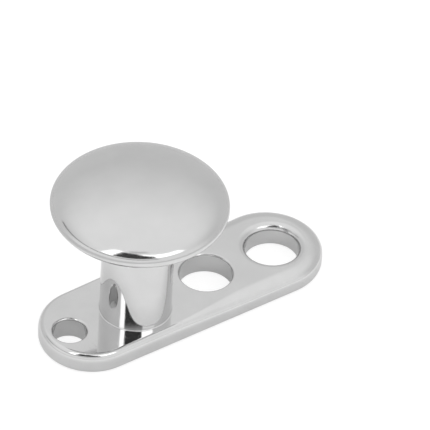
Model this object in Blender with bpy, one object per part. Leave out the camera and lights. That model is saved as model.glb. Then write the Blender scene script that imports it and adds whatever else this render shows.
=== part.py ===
"""A microdermal anchor with a screw-on domed disc: one small, polished piece of body jewellery.

Four pieces: a foot plate with three holes, a round post fixed in the plate, a domed disc, and the
threaded stud that the disc carries down into the post.

Metres, +Z up. The origin is on the post's axis, at the foot plate's underside. +X runs along the foot
plate, from its toe, which has one small hole, to its heel, which has two larger ones.
"""

import math

import bmesh
import bpy
from mathutils import Vector

MM = 0.001

# Foot plate; its front side runs along X and its back side spreads a little towards the heel
PLATE_THICKNESS = 0.54 * MM
PLATE_FRONT_Y = -1.06 * MM
PLATE_TOE_X = -2.28 * MM
PLATE_TOE_WIDTH = 2.36 * MM
PLATE_HEEL_X = 4.93 * MM
PLATE_HEEL_WIDTH = 2.48 * MM
PLATE_EDGE_ROUND = 0.15 * MM
HOLES_Y = 0.12 * MM
TOE_HOLE_X = -1.68 * MM
TOE_HOLE_DIAMETER = 0.77 * MM
MIDDLE_HOLE_X = 1.98 * MM
HEEL_HOLE_X = 3.77 * MM
LARGE_HOLE_DIAMETER = 1.21 * MM
SHARP_RIM_ROUND = 0.04 * MM
SOFT_RIM_ROUND = 0.10 * MM

# Post, a barrel with a spigot that stands in the foot plate
POST_DIAMETER = 1.62 * MM
POST_LENGTH = 2.44 * MM
POST_TOP_ROUND = 0.05 * MM
SPIGOT_DIAMETER = 1.10 * MM
BORE_DIAMETER = 1.20 * MM
BORE_DEPTH = 2.20 * MM
BORE_MOUTH_CHAMFER = 0.04 * MM

# Disc, a lens with superelliptic faces and a flat seat that lands on the post
DISC_DIAMETER = 4.00 * MM
DISC_TOP_RISE = 0.54 * MM
DISC_TOP_POWER = 2.1
DISC_UNDER_DROP = 0.66 * MM
DISC_UNDER_POWER = 1.8
SEAT_DIAMETER = 1.56 * MM
SOCKET_DIAMETER = 0.84 * MM
SOCKET_DEPTH = 0.55 * MM

# Threaded stud: the thread is 1.2 mm across with a pitch of 0.25 mm, and this solid is its plain core
STUD_DIAMETER = 1.12 * MM
STUD_LENGTH = 1.95 * MM
STUD_END_CHAMFER = 0.12 * MM
STUD_SPIGOT_LENGTH = 0.52 * MM

# Room between neighbouring pieces
JOINT_GAP = 0.01 * MM

# Resolution
ROUND_STEPS = 64
HOLE_STEPS = 48
END_STEPS = 28
EDGE_STEPS = 3
DOME_STEPS = 12
MERGE_DISTANCE = 1e-8
SHARP_ANGLE = math.radians(30)

POST_BASE_Z = PLATE_THICKNESS + JOINT_GAP
POST_TOP_Z = POST_BASE_Z + POST_LENGTH
SEAT_Z = POST_TOP_Z + JOINT_GAP


def arc(centre, radius, start, end, steps):
    """Points of an arc from the angle start to the angle end, both included."""
    angles = [start + (end - start) * i / steps for i in range(steps + 1)]
    return [(centre[0] + radius * math.cos(a), centre[1] + radius * math.sin(a)) for a in angles]


def steel(name, colour, roughness):
    """A polished steel with its own name."""
    material = bpy.data.materials.new(name)
    material.use_nodes = True
    shader = material.node_tree.nodes["Principled BSDF"]
    shader.inputs["Base Color"].default_value = (*colour, 1.0)
    shader.inputs["Metallic"].default_value = 1.0
    shader.inputs["Roughness"].default_value = roughness
    return material


def add_object(name, bm, material=None, parent=None):
    """Turns the bmesh's faces outwards and links it as a smooth-shaded object."""
    bmesh.ops.remove_doubles(bm, verts=bm.verts, dist=MERGE_DISTANCE)
    bmesh.ops.recalc_face_normals(bm, faces=bm.faces)
    mesh = bpy.data.meshes.new(name)
    bm.to_mesh(mesh)
    bm.free()
    mesh.shade_smooth()
    mesh.set_sharp_from_angle(angle=SHARP_ANGLE)
    obj = bpy.data.objects.new(name, mesh)
    bpy.context.scene.collection.objects.link(obj)
    obj.parent = parent
    if material:
        mesh.materials.append(material)
    return obj


def add_axis(name, z, parent=None):
    """An empty on the post's axis, at the height z above its parent."""
    empty = bpy.data.objects.new(name, None)
    empty.empty_display_size = MM
    bpy.context.scene.collection.objects.link(empty)
    empty.parent = parent
    empty.location = (0, 0, z)
    return empty


def turned(profile, steps, centre=(0.0, 0.0)):
    """A bmesh turned about the vertical line through centre, from (radius, height) points in order."""
    bm = bmesh.new()
    verts = [bm.verts.new((centre[0] + r, centre[1], z)) for r, z in profile]
    edges = [bm.edges.new(pair) for pair in zip(verts, verts[1:])]
    bmesh.ops.spin(
        bm,
        geom=verts + edges,
        cent=Vector((*centre, 0)),
        axis=Vector((0, 0, 1)),
        angle=math.tau,
        steps=steps,
        use_merge=True,
    )
    return bm


def plate_outline():
    """The foot plate's plan: two round ends and the straight sides that touch both, from the heel on."""
    heel_radius, toe_radius = PLATE_HEEL_WIDTH / 2, PLATE_TOE_WIDTH / 2
    heel_centre = (PLATE_HEEL_X - heel_radius, PLATE_FRONT_Y + heel_radius)
    toe_centre = (PLATE_TOE_X + toe_radius, PLATE_FRONT_Y + toe_radius)
    spread = 2 * math.atan2(heel_radius - toe_radius, heel_centre[0] - toe_centre[0])
    back = math.pi / 2 + spread
    heel = arc(heel_centre, heel_radius, -math.pi / 2, back, END_STEPS)
    toe = arc(toe_centre, toe_radius, back, 3 * math.pi / 2, END_STEPS)
    return heel + toe


def hole_cutter(name, centre, diameter, rim_round, obj_to_cut):
    """Cuts a round hole through the foot plate, with both rims rounded."""
    radius = diameter / 2
    beyond = PLATE_THICKNESS
    low = arc((radius + rim_round, rim_round), rim_round, 3 * math.pi / 2, math.pi, EDGE_STEPS)
    high = arc(
        (radius + rim_round, PLATE_THICKNESS - rim_round), rim_round, math.pi, math.pi / 2, EDGE_STEPS
    )
    flare = radius + rim_round
    profile = [(0, -beyond), (flare, -beyond)] + low + high
    profile += [(flare, PLATE_THICKNESS + beyond), (0, PLATE_THICKNESS + beyond)]
    cutter = add_object(name, turned(profile, HOLE_STEPS, centre))
    cutter.hide_render = True
    cutter.display_type = "WIRE"
    cut = obj_to_cut.modifiers.new(name, "BOOLEAN")
    cut.operation = "DIFFERENCE"
    cut.object = cutter


def make_foot_plate():
    """The flat foot: an extruded plan with rounded edges, three open holes and the post's seat."""
    bm = bmesh.new()
    bottom = bm.faces.new([bm.verts.new((x, y, 0)) for x, y in plate_outline()])
    raised = bmesh.ops.extrude_face_region(bm, geom=[bottom])["geom"]
    bmesh.ops.translate(
        bm, vec=(0, 0, PLATE_THICKNESS), verts=[g for g in raised if isinstance(g, bmesh.types.BMVert)]
    )
    rims = [e for e in bm.edges if abs(e.verts[0].co.z - e.verts[1].co.z) < MERGE_DISTANCE]
    bmesh.ops.bevel(
        bm, geom=rims, offset=PLATE_EDGE_ROUND, segments=EDGE_STEPS, profile=0.5, affect="EDGES"
    )
    plate = add_object("foot_plate", bm, steel("foot_plate_steel", (0.80, 0.80, 0.80), 0.10))
    toe, middle, heel = [(x, HOLES_Y) for x in (TOE_HOLE_X, MIDDLE_HOLE_X, HEEL_HOLE_X)]
    hole_cutter("toe_hole_cut", toe, TOE_HOLE_DIAMETER, SHARP_RIM_ROUND, plate)
    hole_cutter("middle_hole_cut", middle, LARGE_HOLE_DIAMETER, SHARP_RIM_ROUND, plate)
    hole_cutter("heel_hole_cut", heel, LARGE_HOLE_DIAMETER, SOFT_RIM_ROUND, plate)
    seat_diameter = SPIGOT_DIAMETER + 2 * JOINT_GAP
    hole_cutter("post_seat_cut", (0.0, 0.0), seat_diameter, JOINT_GAP, plate)


def make_post():
    """The barrel: a plain cylinder outside, a blind bore for the stud, and a spigot in the plate."""
    radius = POST_DIAMETER / 2
    spigot = SPIGOT_DIAMETER / 2
    bore = BORE_DIAMETER / 2
    mouth = bore + BORE_MOUTH_CHAMFER
    rounded = arc(
        (radius - POST_TOP_ROUND, POST_TOP_Z - POST_TOP_ROUND), POST_TOP_ROUND, 0, math.pi / 2, EDGE_STEPS
    )
    profile = [(0, 0), (spigot, 0), (spigot, POST_BASE_Z), (radius, POST_BASE_Z)]
    profile += rounded
    profile += [(mouth, POST_TOP_Z), (bore, POST_TOP_Z - BORE_MOUTH_CHAMFER)]
    profile += [(bore, POST_TOP_Z - BORE_DEPTH), (0, POST_TOP_Z - BORE_DEPTH)]
    add_object("post", turned(profile, ROUND_STEPS), steel("post_steel", (0.78, 0.78, 0.78), 0.08))


def lens_face(rise, power, inner_radius):
    """One face of the lens, from its rim to inner_radius, as (radius, height): a superellipse."""
    rim = DISC_DIAMETER / 2
    last = math.acos(inner_radius / rim)
    shares = [math.cos(last * i / DOME_STEPS) for i in range(DOME_STEPS + 1)]
    return [(rim * share, rise * (1 - share**power) ** (1 / power)) for share in shares]


def make_disc(parent):
    """The domed disc: a lens with a flat seat below, and a blind socket for the stud."""
    socket = SOCKET_DIAMETER / 2
    top = lens_face(DISC_TOP_RISE, DISC_TOP_POWER, 0.0)
    underside = lens_face(DISC_UNDER_DROP, DISC_UNDER_POWER, SEAT_DIAMETER / 2)
    under = [(r, -z) for r, z in underside]
    seat_z = under[-1][1]
    top[-1] = (0, DISC_TOP_RISE)
    profile = top[::-1] + under[1:]
    profile += [(socket, seat_z), (socket, seat_z + SOCKET_DEPTH), (0, seat_z + SOCKET_DEPTH)]
    disc = turned(profile, ROUND_STEPS)
    bmesh.ops.translate(disc, vec=(0, 0, -seat_z), verts=disc.verts)
    add_object("disc", disc, steel("disc_steel", (0.82, 0.82, 0.82), 0.10), parent)


def make_stud(parent):
    """The stud: a core for the thread below the seat, and a plain spigot up in the disc's socket."""
    radius = STUD_DIAMETER / 2
    spigot = SOCKET_DIAMETER / 2 - JOINT_GAP
    tip = radius - STUD_END_CHAMFER
    profile = [(0, -STUD_LENGTH), (tip, -STUD_LENGTH), (radius, -STUD_LENGTH + STUD_END_CHAMFER)]
    profile += [(radius, -JOINT_GAP), (spigot, -JOINT_GAP)]
    profile += [(spigot, STUD_SPIGOT_LENGTH), (0, STUD_SPIGOT_LENGTH)]
    add_object(
        "threaded_stud", turned(profile, HOLE_STEPS), steel("stud_steel", (0.74, 0.74, 0.74), 0.18), parent
    )


def main():
    for old in list(bpy.data.objects):
        bpy.data.objects.remove(old, do_unlink=True)
    make_foot_plate()
    make_post()
    rise_axis = add_axis("top_rise_axis", SEAT_Z)
    make_stud(rise_axis)
    turn_axis = add_axis("top_turn_axis", 0.0, rise_axis)
    make_disc(turn_axis)


main()
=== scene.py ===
import math

import bmesh
import bpy
from mathutils import Matrix, Vector


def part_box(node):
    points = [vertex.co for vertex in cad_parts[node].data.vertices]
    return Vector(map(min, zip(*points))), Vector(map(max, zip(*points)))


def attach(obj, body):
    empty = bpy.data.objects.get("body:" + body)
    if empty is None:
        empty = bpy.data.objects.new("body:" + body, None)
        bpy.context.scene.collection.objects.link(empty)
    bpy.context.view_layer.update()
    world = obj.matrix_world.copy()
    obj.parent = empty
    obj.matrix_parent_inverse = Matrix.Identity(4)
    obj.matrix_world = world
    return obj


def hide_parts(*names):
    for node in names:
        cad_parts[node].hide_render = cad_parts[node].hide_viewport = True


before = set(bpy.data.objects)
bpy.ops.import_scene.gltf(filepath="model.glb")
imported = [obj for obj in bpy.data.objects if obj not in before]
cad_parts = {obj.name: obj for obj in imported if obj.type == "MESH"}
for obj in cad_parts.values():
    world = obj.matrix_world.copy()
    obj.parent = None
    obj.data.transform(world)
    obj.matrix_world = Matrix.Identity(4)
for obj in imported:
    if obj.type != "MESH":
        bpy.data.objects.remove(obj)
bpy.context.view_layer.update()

# A microdermal anchor in mirror-polished steel, on a plain white table inside a white light tent.
# Metres, +Z up. The origin is on the post's axis at the foot plate's underside, and +X runs along the
# foot plate from its toe (one small hole) to its heel (two larger ones).

MM = 0.001

# ---------------------------------------------------------------- sizes read from the frame
PLATE_LOW, PLATE_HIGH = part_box("foot_plate")
POST_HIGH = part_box("post")[1]
DISC_LOW, DISC_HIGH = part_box("disc")
STUD_LOW, STUD_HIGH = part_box("threaded_stud")

PLATE_TOP = PLATE_HIGH.z
HEEL_RADIUS = (PLATE_HIGH.y - PLATE_LOW.y) / 2
POST_RADIUS = POST_HIGH.x
POST_TOP = POST_HIGH.z
SEAT_Z = DISC_LOW.z
DISC_TOP = DISC_HIGH.z
DISC_RADIUS = DISC_HIGH.x

# ---------------------------------------------------------------- sizes repeated from the CAD
TOE_RADIUS = 1.18 * MM
HOLES_Y = 0.12 * MM
TOE_HOLE_X, TOE_HOLE_RADIUS = -1.68 * MM, 0.385 * MM
MIDDLE_HOLE_X, HEEL_HOLE_X, LARGE_HOLE_RADIUS = 1.98 * MM, 3.77 * MM, 0.605 * MM
SPIGOT_RADIUS = 0.55 * MM
BORE_DEPTH = 2.20 * MM
DISC_TOP_RISE, DISC_TOP_POWER = 0.54 * MM, 2.1
DISC_UNDER_DROP, DISC_UNDER_POWER = 0.66 * MM, 1.8
SEAT_RADIUS = 0.78 * MM
SOCKET_RADIUS, SOCKET_DEPTH = 0.42 * MM, 0.55 * MM

# ---------------------------------------------------------------- finer detail than the CAD holds
# The plate's top edge goes in and down by these amounts, blended along X from the toe's to the heel's.
TOE_EDGE_IN, TOE_EDGE_DOWN = 0.14 * MM, 0.20 * MM
HEEL_EDGE_IN, HEEL_EDGE_DOWN = 0.34 * MM, 0.22 * MM
EDGE_BLEND_START, EDGE_BLEND_END = 0.4 * MM, 2.6 * MM
LOWER_EDGE_ROUND = 0.16 * MM
CRISP_RIM, SOFT_RIM = 0.05 * MM, 0.17 * MM
SPIGOT_GAP, SPIGOT_HOLE_RIM = 0.004 * MM, 0.012 * MM

SPIGOT_CHAMFER = 0.02 * MM
WELD_FILLET = 0.022 * MM
POST_RIM = 0.045 * MM
BORE_MOUTH_CHAMFER = 0.05 * MM

# A thread is flat for THREAD_FLAT of half a pitch on each side of its roots and crests. At rest the stud's
# crests lie in the bore's roots.
PITCH, THREAD_FLAT = 0.25 * MM, 0.10
THREAD_CREST, THREAD_ROOT = 0.56 * MM, 0.44 * MM
BORE_CREST, BORE_ROOT = 0.475 * MM, 0.60 * MM
BORE_THREAD_CLEAR_OF_MOUTH, BORE_THREAD_CLEAR_OF_FLOOR = 0.06 * MM, 0.20 * MM
BORE_CONE_HEIGHT, BORE_FLOOR_RADIUS = 0.05 * MM, 0.5 * BORE_ROOT

TIP_RADIUS, TIP_CHAMFER_RADIUS = THREAD_ROOT - 0.10 * MM, THREAD_ROOT - 0.02 * MM
TIP_CHAMFER_HEIGHT, TIP_THREAD_START = 0.07 * MM, 0.09 * MM
NECK_HEIGHT, NECK_FADE, NECK_STEP = 0.14 * MM, 0.03 * MM, 0.02 * MM
SHANK_RADIUS = SOCKET_RADIUS - 0.02 * MM

# ---------------------------------------------------------------- how finely curves are divided
END_STEPS = 96
SIDE_STEPS = 24
ROUND_STEPS = 10
HOLE_STEPS = 96
FILLET_STEPS = 8
BARREL_STEPS = 6
LATHE_STEPS = 192
DISC_TOP_STEPS, DISC_UNDER_STEPS = 96, 64
THREAD_STEPS = 72
ROWS_PER_PITCH = 10
SHARP_CORNER = math.radians(32)
SAME_PLACE = 1e-8

# ---------------------------------------------------------------- camera
CAMERA_AZIMUTH = math.radians(-35.98)
CAMERA_ELEVATION = math.radians(41.74)
CAMERA_ROLL = math.radians(2.84)
CAMERA_AIM = Vector((2.092, 0.036, 2.274)) * MM
CAMERA_DISTANCE = 273.6 * MM
CAMERA_FOCAL_WIDTHS = 28.55  # the focal length, in widths of the sensor
SENSOR_WIDTH = 36.0
CAMERA_NEAREST, CAMERA_FARTHEST = 10 * MM, 2.0


# ================================================================ meshes
def arc(centre, radius, start, end, steps):
    """Points of an arc from the angle start to the angle end, both included."""
    angles = [start + (end - start) * i / steps for i in range(steps + 1)]
    return [(centre[0] + radius * math.cos(a), centre[1] + radius * math.sin(a)) for a in angles]


def smoothstep(low, high, value):
    """0 below low, 1 above high, and a smooth rise between them."""
    share = min(max((value - low) / (high - low), 0.0), 1.0)
    return share * share * (3 - 2 * share)


def blend(first, second, share):
    """first where share is 0, and second where it is 1."""
    return first + (second - first) * share


def new_piece(name, mesh, material, body, node):
    """Links the mesh as a piece that stands for one CAD node and rides on its body."""
    obj = bpy.data.objects.new(name, mesh)
    bpy.context.scene.collection.objects.link(obj)
    mesh.materials.append(material)
    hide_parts(node)
    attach(obj, body)


def loft(bm, rings):
    """Quads between neighbouring closed rings of the same number of points. Returns the rings' vertices."""
    made = [[bm.verts.new(point) for point in ring] for ring in rings]
    for low, high in zip(made, made[1:]):
        for i in range(len(low)):
            j = (i + 1) % len(low)
            bm.faces.new((low[i], low[j], high[j], high[i]))
    return made


def ring_edges(bm, ring):
    """The edges of a closed ring of vertices."""
    return [bm.edges.get((ring[i - 1], ring[i])) for i in range(len(ring))]


def finished(name, bm):
    """The mesh of a bmesh, faces outwards, smooth apart from its corners."""
    bmesh.ops.recalc_face_normals(bm, faces=bm.faces)
    mesh = bpy.data.meshes.new(name)
    bm.to_mesh(mesh)
    bm.free()
    mesh.shade_smooth()
    mesh.set_sharp_from_angle(angle=SHARP_CORNER)
    return mesh


def lofted(name, rings):
    """A mesh lofted through rings, closed by a face at each end."""
    bm = bmesh.new()
    made = loft(bm, rings)
    bm.faces.new(made[0])
    bm.faces.new(made[-1])
    return finished(name, bm)


def lathed(name, profile):
    """A mesh turned about the post's axis from (radius, height) points that start and end on it."""
    bm = bmesh.new()
    verts = [bm.verts.new((radius, 0, height)) for radius, height in profile]
    edges = [bm.edges.new(pair) for pair in zip(verts, verts[1:])]
    bmesh.ops.spin(
        bm,
        geom=verts + edges,
        cent=(0, 0, 0),
        axis=(0, 0, 1),
        angle=math.tau,
        steps=LATHE_STEPS,
        use_merge=True,
    )
    bmesh.ops.remove_doubles(bm, verts=bm.verts, dist=SAME_PLACE)
    return finished(name, bm)


# ---------------------------------------------------------------- foot plate
def plate_outline():
    """The foot plate's plan as (point, outward direction): two round ends and their common tangents."""
    heel = Vector((PLATE_HIGH.x - HEEL_RADIUS, PLATE_LOW.y + HEEL_RADIUS, 0))
    toe = Vector((PLATE_LOW.x + TOE_RADIUS, PLATE_LOW.y + TOE_RADIUS, 0))
    # The front side lies along X, and the line between the two centres halves the sides' angle.
    front = -math.pi / 2
    back = math.pi / 2 + 2 * math.atan2(heel.y - toe.y, heel.x - toe.x)
    outline = []

    def add(share, angle):
        """A point on the circle that lies at share of the way from the heel's to the toe's."""
        out = Vector((math.cos(angle), math.sin(angle), 0))
        radius = blend(HEEL_RADIUS, TOE_RADIUS, share)
        outline.append((heel.lerp(toe, share) + radius * out, out))

    for i in range(END_STEPS + 1):
        add(0.0, blend(front, back, i / END_STEPS))
    for i in range(1, SIDE_STEPS):
        add(i / SIDE_STEPS, back)
    for i in range(END_STEPS + 1):
        add(1.0, blend(back, front + math.tau, i / END_STEPS))
    for i in range(1, SIDE_STEPS):
        add(1 - i / SIDE_STEPS, front)
    return outline


def edge_point(spot, out, inward, down, centre_z, turn):
    """A point and its normal on an elliptic edge centred at centre_z.

    turn is 0 at the plate's side, a quarter turn at its top and minus a quarter turn at its underside.
    """
    across, rise = math.cos(turn), math.sin(turn)
    point = spot - inward * (1 - across) * out + Vector((0, 0, centre_z + down * rise))
    normal = down * across * out + Vector((0, 0, inward * rise))
    return point, normal.normalized()


def lower_edge_ring(outline, turn):
    """A ring of the plate's lower edge, which is the same all round."""
    low = LOWER_EDGE_ROUND
    return [edge_point(spot, out, low, low, low, turn) for spot, out in outline]


def upper_edge_ring(outline, turn):
    """A ring of the plate's upper edge, which is crisp at the toe and broad at the heel."""
    ring = []
    for spot, out in outline:
        heel = smoothstep(EDGE_BLEND_START, EDGE_BLEND_END, spot.x)
        inward = blend(TOE_EDGE_IN, HEEL_EDGE_IN, heel)
        down = blend(TOE_EDGE_DOWN, HEEL_EDGE_DOWN, heel)
        ring.append(edge_point(spot, out, inward, down, PLATE_TOP - down, turn))
    return ring


def plate_rings():
    """The plate's side from its underside to its top, as rings of (point, normal)."""
    outline = plate_outline()
    lower = [math.pi / 2 * (i / ROUND_STEPS - 1) for i in range(ROUND_STEPS + 1)]
    upper = [math.pi / 4 * i / ROUND_STEPS for i in range(2 * ROUND_STEPS + 1)]
    rings = [lower_edge_ring(outline, turn) for turn in lower]
    return rings + [upper_edge_ring(outline, turn) for turn in upper]


def hole_rings(x, y, radius, rim):
    """A hole's wall with both rims rounded, from the top face down to the underside."""
    low = min(rim, CRISP_RIM)
    turns = [math.pi / 2 * i / ROUND_STEPS for i in range(ROUND_STEPS + 1)]
    spots = [(PLATE_TOP - rim, rim, turn) for turn in reversed(turns)]
    spots += [(low, low, -turn) for turn in turns]
    rings = []
    for centre_z, size, turn in spots:
        ring = []
        for k in range(HOLE_STEPS):
            angle = math.tau * k / HOLE_STEPS
            out = Vector((math.cos(angle), math.sin(angle), 0))
            normal = -out * math.cos(turn) + Vector((0, 0, math.sin(turn)))
            ring.append((Vector((x, y, centre_z)) + (radius + size) * out + size * normal, normal))
        rings.append(ring)
    return rings


def make_foot_plate(material):
    """The foot: a flat plate with round ends, three open holes and one that the post's spigot fills."""
    bm = bmesh.new()
    normals = []

    def add(rings):
        """Lofts rings of (point, normal) and keeps the normals, in the order of the vertices."""
        normals.extend(normal for ring in rings for _, normal in ring)
        return loft(bm, [[point for point, _ in ring] for ring in rings])

    side = add(plate_rings())
    holes = [
        add(hole_rings(TOE_HOLE_X, HOLES_Y, TOE_HOLE_RADIUS, CRISP_RIM)),
        add(hole_rings(MIDDLE_HOLE_X, HOLES_Y, LARGE_HOLE_RADIUS, CRISP_RIM)),
        add(hole_rings(HEEL_HOLE_X, HOLES_Y, LARGE_HOLE_RADIUS, SOFT_RIM)),
        add(hole_rings(0.0, 0.0, SPIGOT_RADIUS + SPIGOT_GAP, SPIGOT_HOLE_RIM)),
    ]
    top_and_underside = ((side[-1], 0), (side[0], -1))
    for outer, inner in top_and_underside:
        edges = ring_edges(bm, outer)
        for hole in holes:
            edges += ring_edges(bm, hole[inner])
        bmesh.ops.triangle_fill(bm, use_beauty=True, use_dissolve=False, edges=edges)
    bmesh.ops.recalc_face_normals(bm, faces=bm.faces)
    mesh = bpy.data.meshes.new("foot_plate_body")
    bm.to_mesh(mesh)
    bm.free()
    mesh.shade_smooth()
    mesh.normals_split_custom_set_from_vertices([tuple(normal) for normal in normals])
    new_piece("foot_plate_body", mesh, material, "anchor", "foot_plate")


# ---------------------------------------------------------------- threads
def thread_height(turns):
    """A rounded V thread's height, from 0 at the root to 1 at the crest, over one turn."""
    share = abs((turns % 1.0) * 2 - 1)
    return smoothstep(THREAD_FLAT, 1 - THREAD_FLAT, share)


def thread_rings(low, high, root, crest, fade_low, fade_high, phase=0.0):
    """Rings of a right-hand helical thread about the post's axis, fading into the root at its ends.

    A phase of 0.5 puts its crests level with the roots of a thread of phase 0, so the two mesh.
    """
    rows = round((high - low) / PITCH * ROWS_PER_PITCH)
    rings = []
    for i in range(rows + 1):
        z = low + (high - low) * i / rows
        depth = (crest - root) * smoothstep(0, fade_low, z - low) * smoothstep(0, fade_high, high - z)
        ring = []
        for k in range(THREAD_STEPS):
            turn = k / THREAD_STEPS
            radius = root + depth * thread_height((z - SEAT_Z) / PITCH - turn + phase)
            ring.append((radius * math.cos(math.tau * turn), radius * math.sin(math.tau * turn), z))
        rings.append(ring)
    return rings


def circle(radius, z):
    """A level ring about the post's axis, with as many points as a thread's."""
    angles = [math.tau * k / THREAD_STEPS for k in range(THREAD_STEPS)]
    return [(radius * math.cos(angle), radius * math.sin(angle), z) for angle in angles]


def make_threaded_stud(material):
    """The stud that hangs from the disc: a chamfered tip, the thread, a neck and the shank in the socket."""
    tip_z, neck_z = STUD_LOW.z, SEAT_Z - NECK_HEIGHT
    rings = [circle(TIP_RADIUS, tip_z), circle(TIP_CHAMFER_RADIUS, tip_z + TIP_CHAMFER_HEIGHT)]
    rings += thread_rings(
        tip_z + TIP_THREAD_START, neck_z, THREAD_ROOT, THREAD_CREST, PITCH, PITCH / 3
    )
    rings += [circle(THREAD_ROOT, neck_z + NECK_FADE), circle(THREAD_ROOT, SEAT_Z - NECK_STEP)]
    rings += [circle(SHANK_RADIUS, SEAT_Z), circle(SHANK_RADIUS, STUD_HIGH.z)]
    mesh = lofted("threaded_stud_body", rings)
    new_piece("threaded_stud_body", mesh, material, "stud", "threaded_stud")


# ---------------------------------------------------------------- post
def post_outside():
    """The post's (radius, height) points from the spigot's foot to the bore's mouth."""
    fillet_centre = (POST_RADIUS + WELD_FILLET, PLATE_TOP + WELD_FILLET)
    rim_centre = (POST_RADIUS - POST_RIM, POST_TOP - POST_RIM)
    points = [(SPIGOT_RADIUS - SPIGOT_CHAMFER, 0.0), (SPIGOT_RADIUS, SPIGOT_CHAMFER)]
    points += [(SPIGOT_RADIUS, PLATE_TOP)]
    points += arc(fillet_centre, WELD_FILLET, -math.pi / 2, -math.pi, FILLET_STEPS)
    for i in range(1, BARREL_STEPS):
        points.append((POST_RADIUS, PLATE_TOP + (POST_TOP - PLATE_TOP) * i / BARREL_STEPS))
    points += arc(rim_centre, POST_RIM, 0, math.pi / 2, FILLET_STEPS)
    points += [(BORE_ROOT + BORE_MOUTH_CHAMFER, POST_TOP), (BORE_ROOT, POST_TOP - BORE_MOUTH_CHAMFER)]
    return points


def make_post(material):
    """The barrel: welded to the plate with a tiny fillet, open at the top, threaded inside."""
    floor_z = POST_TOP - BORE_DEPTH
    bore_thread = thread_rings(
        floor_z + BORE_THREAD_CLEAR_OF_FLOOR,
        POST_TOP - BORE_THREAD_CLEAR_OF_MOUTH,
        BORE_ROOT,
        BORE_CREST,
        PITCH,
        PITCH / 2,
        phase=0.5,
    )
    rings = [circle(radius, z) for radius, z in post_outside()]
    rings += bore_thread[::-1]
    rings += [circle(BORE_ROOT, floor_z + BORE_CONE_HEIGHT), circle(BORE_FLOOR_RADIUS, floor_z)]
    mesh = lofted("post_barrel", rings)
    new_piece("post_barrel", mesh, material, "anchor", "post")


# ---------------------------------------------------------------- disc
def lens_face(rise, power, inner_radius, steps):
    """One face of the lens from its rim to inner_radius, as (radius, height above the rim)."""
    last = math.acos(inner_radius / DISC_RADIUS)
    shares = [math.cos(last * i / steps) for i in range(steps + 1)]
    return [(DISC_RADIUS * share, rise * (1 - share**power) ** (1 / power)) for share in shares]


def make_disc(material):
    """The domed disc: a lens with a rounded rim, a flat seat below and a socket for the stud."""
    rim_z = DISC_TOP - DISC_TOP_RISE
    socket_z = SEAT_Z + SOCKET_DEPTH
    top = lens_face(DISC_TOP_RISE, DISC_TOP_POWER, 0.0, DISC_TOP_STEPS)[::-1]
    under = lens_face(DISC_UNDER_DROP, DISC_UNDER_POWER, SEAT_RADIUS, DISC_UNDER_STEPS)
    profile = [(0.0, DISC_TOP)]
    profile += [(radius, rim_z + height) for radius, height in top[1:]]
    profile += [(radius, rim_z - height) for radius, height in under[1:-1]]
    profile += [(SEAT_RADIUS, SEAT_Z), (SOCKET_RADIUS, SEAT_Z)]
    profile += [(SOCKET_RADIUS, socket_z), (0.0, socket_z)]
    new_piece("disc_top", lathed("disc_top", profile), material, "top", "disc")


# ================================================================ materials
# A lay stretches a texture into lines: its features per metre along each axis, and its turn in radians.
PLATE_LAY = ((2500.0, 26000.0, 26000.0), (0.0, 0.0, 0.2))
POST_LAY = ((2000.0, 2000.0, 30000.0), (0.0, 0.0, 0.0))
DISC_LAY = ((3000.0, 22000.0, 22000.0), (0.0, 0.0, 0.9))
STUD_LAY = ((2500.0, 2500.0, 40000.0), (0.0, 0.0, 0.0))
STRAY_LAY = ((60000.0, 2600.0, 2600.0), (0.3, 0.5, 0.9))

CLOUD_SCALE, WAVE_SCALE, PIT_SCALE, TABLE_SCALE = 1400.0, 900.0, 3800.0, 120.0
LINE_DEPTH, STRAY_DEPTH, PIT_DEPTH = 0.00012 * MM, 0.0002 * MM, 0.0015 * MM

# The part of each texture's values that is spread over its whole effect.
CLOUD_RANGE, LINE_RANGE, STRAY_RANGE, PIT_RANGE = (0.30, 0.70), (0.35, 0.70), (0.66, 0.72), (0.02, 0.07)

# Shares of a surface's own roughness: what lines scale it between, and what strays and clouds add.
LINE_ROUGHNESS, STRAY_ROUGHNESS, CLOUD_ROUGHNESS = (0.8, 1.35), 0.6, 0.3
SATIN_START, SATIN_FULL = 0.5 * MM, 3.5 * MM


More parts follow.
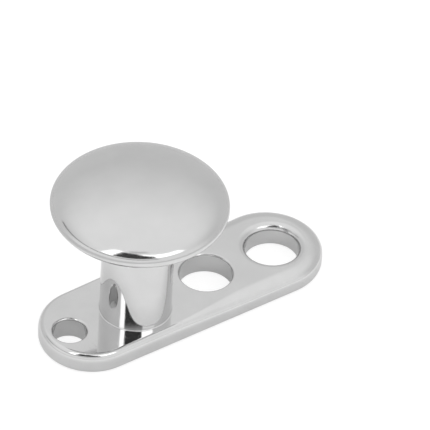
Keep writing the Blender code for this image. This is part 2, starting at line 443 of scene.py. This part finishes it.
class Graph:
    """A short way to add nodes to one tree and join them up."""

    def __init__(self, tree):
        self.tree = tree

    def add(self, kind, inputs=None, **settings):
        """A node; inputs maps its sockets to values or to other nodes' outputs."""
        node = self.tree.nodes.new(kind)
        for name, value in settings.items():
            setattr(node, name, value)
        for name, value in (inputs or {}).items():
            if isinstance(value, bpy.types.NodeSocket):
                self.tree.links.new(value, node.inputs[name])
            else:
                node.inputs[name].default_value = value
        return node

    def math(self, operation, first, second=0.0, third=0.0):
        """The result of one operation on up to three numbers."""
        inputs = {0: first, 1: second, 2: third}
        return self.add("ShaderNodeMath", inputs, operation=operation).outputs[0]

    def remap(self, value, from_low, from_high, to_low, to_high, smooth=False):
        """value carried from one range to another, and held at the range's ends."""
        inputs = {
            "Value": value,
            "From Min": from_low,
            "From Max": from_high,
            "To Min": to_low,
            "To Max": to_high,
        }
        kind = "SMOOTHSTEP" if smooth else "LINEAR"
        return self.add("ShaderNodeMapRange", inputs, interpolation_type=kind).outputs["Result"]

    def vector(self, operation, first, second, output):
        """The named output of one operation on two vectors."""
        inputs = {0: first, 1: second}
        return self.add("ShaderNodeVectorMath", inputs, operation=operation).outputs[output]

    def noise(self, vector, scale, detail=2.0, roughness=0.5):
        """Noise from 0 to 1."""
        inputs = {"Vector": vector, "Scale": scale, "Detail": detail, "Roughness": roughness}
        return self.add("ShaderNodeTexNoise", inputs).outputs["Fac"]

    def stretched(self, vector, lay):
        """vector scaled and turned by a lay."""
        inputs = {"Vector": vector, "Scale": lay[0], "Rotation": lay[1]}
        return self.add("ShaderNodeMapping", inputs).outputs["Vector"]

    def bump(self, height, distance, below=None):
        """A normal bent by a height map, over the normal below if there is one."""
        inputs = {"Height": height, "Distance": distance, "Strength": 1.0}
        if below is not None:
            inputs["Normal"] = below
        return self.add("ShaderNodeBump", inputs).outputs["Normal"]


def polished_steel(name, bright, dull, roughness, lay, waviness, heel_satin=0.0):
    """Mirror-polished steel: cloudy tone, polishing lines along lay, faint waves and a few pits.

    heel_satin is the roughness that the surface gains from its middle towards its heel.
    """
    material = bpy.data.materials.new(name)
    material.use_nodes = True
    links = material.node_tree.links
    graph = Graph(material.node_tree)
    shader = material.node_tree.nodes["Principled BSDF"]
    place = graph.add("ShaderNodeTexCoord").outputs["Object"]

    cloud = graph.noise(place, CLOUD_SCALE, 3.0, 0.55)
    lines = graph.noise(graph.stretched(place, lay), 1.0, 3.0, 0.6)
    strays = graph.noise(graph.stretched(place, STRAY_LAY), 1.0, 1.0)
    stray_mask = graph.remap(strays, *STRAY_RANGE, 0.0, 1.0)

    tone = graph.remap(cloud, *CLOUD_RANGE, dull, bright)
    grey = graph.add("ShaderNodeCombineColor", {0: tone, 1: tone, 2: tone}).outputs[0]
    links.new(grey, shader.inputs["Base Color"])
    shader.inputs["Metallic"].default_value = 1.0

    smoothest, roughest = roughness * LINE_ROUGHNESS[0], roughness * LINE_ROUGHNESS[1]
    rough = graph.remap(lines, *LINE_RANGE, smoothest, roughest)
    rough = graph.math("MULTIPLY_ADD", stray_mask, roughness * STRAY_ROUGHNESS, rough)
    rough = graph.math("MULTIPLY_ADD", cloud, roughness * CLOUD_ROUGHNESS, rough)
    if heel_satin:
        along = graph.add("ShaderNodeSeparateXYZ", {0: place}).outputs["X"]
        satin = graph.remap(along, SATIN_START, SATIN_FULL, 0.0, heel_satin, smooth=True)
        rough = graph.math("ADD", rough, satin)
    links.new(rough, shader.inputs["Roughness"])

    pits = graph.add("ShaderNodeTexVoronoi", {"Vector": place, "Scale": PIT_SCALE}).outputs["Distance"]
    pit_floor = graph.remap(pits, *PIT_RANGE, 0.0, 1.0, smooth=True)
    normal = graph.bump(graph.noise(place, WAVE_SCALE, 1.0), waviness)
    normal = graph.bump(lines, LINE_DEPTH, normal)
    normal = graph.bump(stray_mask, STRAY_DEPTH, normal)
    normal = graph.bump(pit_floor, PIT_DEPTH, normal)
    links.new(normal, shader.inputs["Normal"])
    return material


# ================================================================ tent
# The tent's light goes by direction. Heights are degrees above the horizon. Azimuths are degrees about
# the anchor, from the camera's side (0) towards the picture's right.
# The canvas brightens upwards. Low down, RIGHT_EXTRA is added on the right and taken off on the left, and
# then the left and the near side gain light. The panels, the roof strip, the opening and the sill are
# patches laid over it. The tops of the right panel and the opening slope between two azimuths.
CANVAS_HEIGHTS, CANVAS_LIGHT = (25.0, 60.0), (0.72, 1.01)
RIGHT_HEIGHTS, RIGHT_EXTRA = (0.0, 60.0), 0.03
LEFT_HEIGHTS, LEFT_EXTRA = (25.0, 65.0), 0.07
NEAR_HEIGHTS, NEAR_EXTRA = (25.0, 52.0), 0.24
NEAR_SHARE = (-0.2, 0.4)

EDGE_SOFT = (2.5, 2.5)
RIGHT_PANEL_SOFT, LEFT_PANEL_SOFT = (4.0, 3.5), (3.0, 3.0)

PANEL_LIGHT = 2.4
RIGHT_PANEL_AZIMUTHS, RIGHT_PANEL_BOTTOM = (4.0, 63.0), 39.0
RIGHT_PANEL_SLOPE_AZIMUTHS, RIGHT_PANEL_TOPS = (10.0, 50.0), (63.0, 54.0)
LEFT_PANEL_AZIMUTHS, LEFT_PANEL_HEIGHTS = (-47.0, -30.0), (36.0, 69.0)

ROOF_STRIP_LIGHT = 0.55
ROOF_STRIP_AZIMUTHS, ROOF_STRIP_HEIGHTS = (-20.0, 24.0), (70.0, 75.0)

OPENING_LIGHT = 0.06
OPENING_AZIMUTHS, OPENING_BOTTOM = (-32.0, 25.0), 37.0
OPENING_SLOPE_AZIMUTHS, OPENING_TOPS = (-4.0, 24.0), (67.0, 52.0)

SILL_LIGHT = 0.15
SILL_AZIMUTHS, SILL_HEIGHTS = (-110.0, 26.0), (25.0, 29.0)


def make_tent():
    """The world: a white light tent with a dark opening round the camera and a bright panel on each side."""
    world = bpy.data.worlds.new("light_tent")
    world.use_nodes = True
    bpy.context.scene.world = world
    tree = world.node_tree
    tree.nodes.clear()
    graph = Graph(tree)
    way = graph.add("ShaderNodeTexCoord").outputs["Generated"]
    side_axis = Vector((math.cos(CAMERA_AZIMUTH), math.sin(CAMERA_AZIMUTH), 0))
    near_axis = Vector((math.sin(CAMERA_AZIMUTH), -math.cos(CAMERA_AZIMUTH), 0))
    side = graph.vector("DOT_PRODUCT", way, side_axis, "Value")
    near = graph.vector("DOT_PRODUCT", way, near_axis, "Value")
    up = graph.add("ShaderNodeSeparateXYZ", {0: way}).outputs["Z"]
    azimuth = graph.math("DEGREES", graph.math("ARCTAN2", side, near))
    height = graph.math("DEGREES", graph.math("ARCSINE", up))

    def band(value, low, high, soft):
        """1 between low and high and 0 outside them, with edges softened by soft on either side."""
        rise = graph.remap(value, low - soft, low + soft, 0.0, 1.0, smooth=True)
        past = graph.math("SUBTRACT", value, high)
        return graph.math("MULTIPLY", rise, graph.remap(past, -soft, soft, 1.0, 0.0, smooth=True))

    def patch(azimuths, heights, soft):
        """1 inside a part of the tent and 0 outside it; soft is the azimuth's softness and the height's."""
        across = band(azimuth, *azimuths, soft[0])
        return graph.math("MULTIPLY", across, band(height, *heights, soft[1]))

    def lay(under, mask, level):
        """under where mask is 0, and level where mask is 1."""
        return graph.math("MULTIPLY_ADD", mask, graph.math("SUBTRACT", level, under), under)

    def gain(light, share, heights, extra):
        """light plus share times extra, which fades out between the two heights."""
        return graph.math("MULTIPLY_ADD", share, graph.remap(height, *heights, extra, 0.0), light)

    left_share = graph.remap(side, -1.0, 0.0, 1.0, 0.0)
    near_share = graph.remap(near, *NEAR_SHARE, 0.0, 1.0, smooth=True)
    light = graph.remap(height, *CANVAS_HEIGHTS, *CANVAS_LIGHT, smooth=True)
    light = gain(light, side, RIGHT_HEIGHTS, RIGHT_EXTRA)
    light = gain(light, left_share, LEFT_HEIGHTS, LEFT_EXTRA)
    light = gain(light, near_share, NEAR_HEIGHTS, NEAR_EXTRA)

    right_panel_top = graph.remap(azimuth, *RIGHT_PANEL_SLOPE_AZIMUTHS, *RIGHT_PANEL_TOPS)
    right_panel = patch(RIGHT_PANEL_AZIMUTHS, (RIGHT_PANEL_BOTTOM, right_panel_top), RIGHT_PANEL_SOFT)
    left_panel = patch(LEFT_PANEL_AZIMUTHS, LEFT_PANEL_HEIGHTS, LEFT_PANEL_SOFT)
    roof_strip = patch(ROOF_STRIP_AZIMUTHS, ROOF_STRIP_HEIGHTS, EDGE_SOFT)
    opening_top = graph.remap(azimuth, *OPENING_SLOPE_AZIMUTHS, *OPENING_TOPS)
    opening = patch(OPENING_AZIMUTHS, (OPENING_BOTTOM, opening_top), EDGE_SOFT)
    sill = patch(SILL_AZIMUTHS, SILL_HEIGHTS, EDGE_SOFT)
    light = lay(light, right_panel, PANEL_LIGHT)
    light = lay(light, left_panel, PANEL_LIGHT)
    light = lay(light, roof_strip, ROOF_STRIP_LIGHT)
    light = lay(light, opening, OPENING_LIGHT)
    light = lay(light, sill, SILL_LIGHT)

    # The camera itself sees a plain white background.
    seen = graph.add("ShaderNodeLightPath").outputs["Is Camera Ray"]
    light = lay(light, seen, 1.0)
    background = graph.add("ShaderNodeBackground", {"Strength": light})
    background.inputs["Color"].default_value = (1.0, 1.0, 1.0, 1.0)
    output = graph.add("ShaderNodeOutputWorld")
    tree.links.new(background.outputs[0], output.inputs["Surface"])


# ================================================================ table
TABLE_REACH = 150 * MM
TABLE_Z, TABLE_MIRRORED_Z = -0.002 * MM, -0.004 * MM
TABLE_DULLEST, TABLE_ROUGHNESS = 0.98, 0.9
# The mirrored table glows in a painted pool of light in front of the plate.
LIGHT_POOL = Vector((1.0, -4.0, 0.0)) * MM
POOL_FULL, POOL_END = 5.0 * MM, 11.0 * MM
# Painted shade: the pool's glow is dimmed to PLATE_SHADE beside the plate's outline.
PLATE_SHADE_START, PLATE_SHADE_END, PLATE_SHADE = 0.1 * MM, 1.2 * MM, 0.50


def white_surface(name, tone, glow, painted_pool=0.0):
    """A matt white, a little cloudy, with a glow of its own and a painted pool of light in front of the
    plate, dimmed by painted shade beside the plate.
    """
    material = bpy.data.materials.new(name)
    material.use_nodes = True
    links = material.node_tree.links
    graph = Graph(material.node_tree)
    shader = material.node_tree.nodes["Principled BSDF"]
    place = graph.add("ShaderNodeTexCoord").outputs["Object"]
    white = graph.remap(graph.noise(place, TABLE_SCALE), *CLOUD_RANGE, tone * TABLE_DULLEST, tone)
    shader.inputs["Roughness"].default_value = TABLE_ROUGHNESS
    shader.inputs["Specular IOR Level"].default_value = 0.0
    shader.inputs["Emission Color"].default_value = (1.0, 1.0, 1.0, 1.0)
    shader.inputs["Emission Strength"].default_value = glow
    if painted_pool:
        # Painted light: the glow's pool in front of the plate, with painted shade beside the plate.
        apart = graph.vector("DISTANCE", place, LIGHT_POOL, "Value")
        share = graph.remap(apart, POOL_FULL, POOL_END, 1.0, 0.0, smooth=True)
        # Painted shade beside the plate dims the pool.
        share = graph.math("MULTIPLY", share, painted_plate_shade(graph, place))
        links.new(graph.math("MULTIPLY_ADD", share, painted_pool, glow), shader.inputs["Emission Strength"])
    shade = graph.add("ShaderNodeCombineColor", {0: white, 1: white, 2: white}).outputs[0]
    links.new(shade, shader.inputs["Base Color"])
    return material


def painted_plate_shade(graph, place):
    """Painted shade: 1 well away from the foot plate's outline and less beside it, a shadow of the plate
    painted into the table's glow.
    """
    along = graph.add("ShaderNodeSeparateXYZ", {0: place}).outputs["X"]
    ends = {"Min": PLATE_LOW.x + TOE_RADIUS, "Max": PLATE_HIGH.x - HEEL_RADIUS}
    nearest_x = graph.add("ShaderNodeClamp", {"Value": along, **ends}).outputs[0]
    middle = graph.add("ShaderNodeCombineXYZ", {"X": nearest_x, "Y": PLATE_LOW.y + HEEL_RADIUS})
    apart = graph.vector("DISTANCE", place, middle.outputs[0], "Value")
    past = graph.math("SUBTRACT", apart, HEEL_RADIUS)
    return graph.remap(past, PLATE_SHADE_START, PLATE_SHADE_END, PLATE_SHADE, 1.0, smooth=True)


def add_sheet(name, z, material):
    """A large level square of the stage."""
    reach = TABLE_REACH
    corners = [(-reach, -reach, z), (reach, -reach, z), (reach, reach, z), (-reach, reach, z)]
    mesh = bpy.data.meshes.new(name)
    mesh.from_pydata(corners, [], [(0, 1, 2, 3)])
    mesh.materials.append(material)
    sheet = bpy.data.objects.new(name, mesh)
    bpy.context.scene.collection.objects.link(sheet)
    return sheet


def make_table():
    """A plain white table: a glowing sheet that the camera sees, and a matt one that the steel mirrors,
    which has a painted pool of light and painted shade beside the plate.
    """
    seen = add_sheet("table", TABLE_Z, white_surface("table_white", tone=0.25, glow=0.85))
    seen.visible_glossy = False
    seen.visible_diffuse = False
    seen.visible_shadow = False
    # The mirrored sheet's glow is a painted pool of light, with painted shade beside the plate.
    matt = white_surface("table_matt_painted_pool", tone=0.80, glow=0.0, painted_pool=0.34)
    mirrored = add_sheet("table_mirrored", TABLE_MIRRORED_Z, matt)
    mirrored.visible_camera = False


# ================================================================ camera
def make_camera():
    """The camera at the photograph's angle, rolled a little, far enough away to look nearly parallel."""
    back = Vector(
        (
            math.sin(CAMERA_AZIMUTH) * math.cos(CAMERA_ELEVATION),
            -math.cos(CAMERA_AZIMUTH) * math.cos(CAMERA_ELEVATION),
            math.sin(CAMERA_ELEVATION),
        )
    )
    right = Vector((0, 0, 1)).cross(back).normalized()
    up = back.cross(right)
    across = right * math.cos(CAMERA_ROLL) + up * math.sin(CAMERA_ROLL)
    upward = up * math.cos(CAMERA_ROLL) - right * math.sin(CAMERA_ROLL)
    data = bpy.data.cameras.new("camera")
    data.sensor_width = SENSOR_WIDTH
    data.lens = CAMERA_FOCAL_WIDTHS * SENSOR_WIDTH
    data.clip_start = CAMERA_NEAREST
    data.clip_end = CAMERA_FARTHEST
    camera = bpy.data.objects.new("camera", data)
    bpy.context.scene.collection.objects.link(camera)
    turn = Matrix((across, upward, back)).transposed().to_4x4()
    camera.matrix_world = Matrix.Translation(CAMERA_AIM + back * CAMERA_DISTANCE) @ turn
    bpy.context.scene.camera = camera


bpy.context.scene.view_settings.view_transform = "Standard"
make_foot_plate(
    polished_steel(
        "plate_finish",
        bright=0.69,
        dull=0.65,
        roughness=0.06,
        lay=PLATE_LAY,
        waviness=0.0006 * MM,
        heel_satin=0.10,
    )
)
make_post(
    polished_steel(
        "post_finish", bright=0.68, dull=0.64, roughness=0.04, lay=POST_LAY, waviness=0.0005 * MM
    )
)
make_disc(
    polished_steel(
        "disc_finish", bright=0.68, dull=0.65, roughness=0.09, lay=DISC_LAY, waviness=0.0005 * MM
    )
)
make_threaded_stud(
    polished_steel(
        "stud_finish", bright=0.62, dull=0.56, roughness=0.16, lay=STUD_LAY, waviness=0.0005 * MM
    )
)
make_tent()
make_table()
make_camera()
